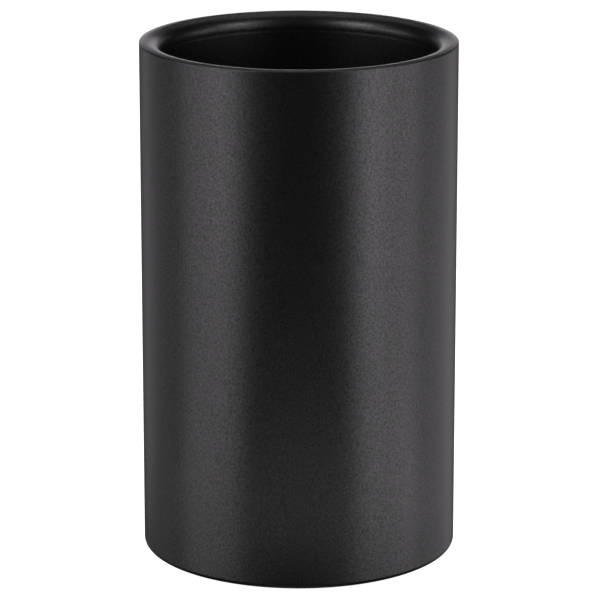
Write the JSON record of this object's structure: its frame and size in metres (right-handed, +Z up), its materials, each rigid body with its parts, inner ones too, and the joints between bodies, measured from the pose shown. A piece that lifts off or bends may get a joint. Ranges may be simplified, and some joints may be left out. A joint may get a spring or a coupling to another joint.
{
  "type": "double-walled bottle cooler",
  "caption": "Tabletop bottle cooler: a tall straight double-walled cylinder, open at the top, with a rolled rim and a non-slip foot pad.",
  "frame": {"origin": "on the table, at the centre of the foot pad's underside", "axes": "+Z up along the cooler's own axis, out of the well's mouth; the cooler is round, so +X and +Y are free"},
  "size_m": [0.12, 0.12, 0.198],
  "materials": {
    "powder_coat": "matt black fine-grained powder coat on stainless steel",
    "silicone": "matt grey silicone",
    "adhesive_film": "double-sided adhesive film",
    "pad_rubber": "matt black non-slip rubber"
  },
  "bodies": {
    "root": {"outer_wall": "powder_coat", "rim_weld_outer": "powder_coat", "rim_ring": "powder_coat", "rim_weld_inner": "powder_coat", "inner_wall": "powder_coat", "liner_floor_weld": "powder_coat", "liner_floor": "powder_coat", "base_weld": "powder_coat", "base_pan": "powder_coat", "vent_plug": "silicone", "foot_pad_adhesive": "adhesive_film", "foot_pad": "pad_rubber"}
  },
  "joints": []
}
